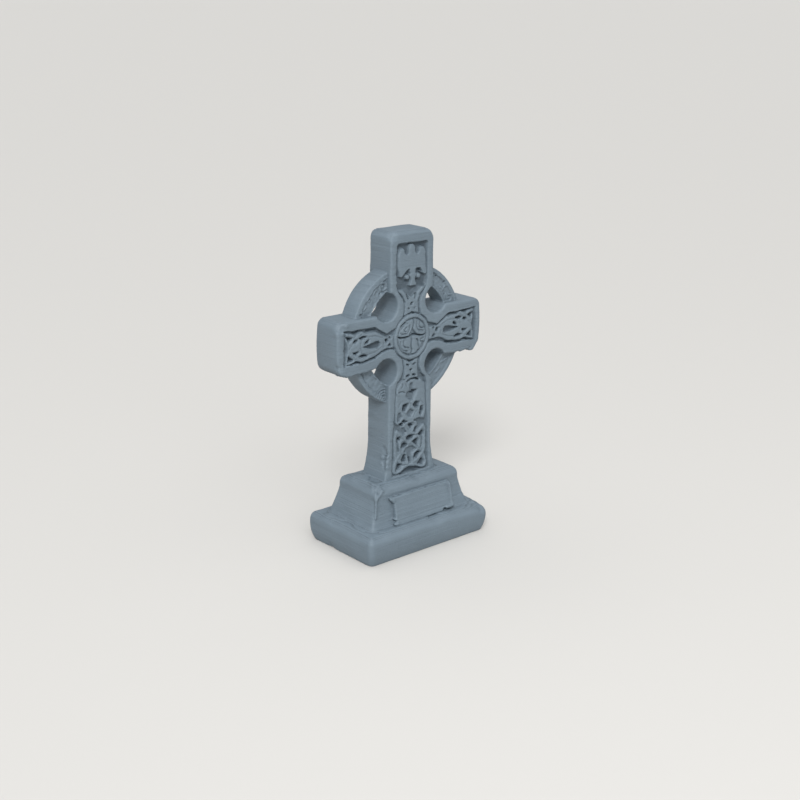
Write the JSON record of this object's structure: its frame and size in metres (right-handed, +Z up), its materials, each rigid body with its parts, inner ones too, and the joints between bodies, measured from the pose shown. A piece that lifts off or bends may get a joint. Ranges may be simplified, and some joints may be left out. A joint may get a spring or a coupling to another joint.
{
  "type": "ringed cross memorial miniature",
  "caption": "Small printed model of a ringed cross memorial, carved with strapwork, a middle roundel and a spread bird, standing on a stepped plinth with a blank tablet.",
  "frame": {"origin": "middle of the slab's flat underside", "axes": "+Z up along the shaft; the carved front with the tablet faces -Y; the arms run along X"},
  "size_m": [0.0378, 0.0206, 0.065],
  "materials": {
    "print_plastic": "matt blue-grey printed plastic with faint level layer lines, bare and unpainted"
  },
  "bodies": {
    "root": {"ringed_cross": "print_plastic"}
  },
  "joints": []
}
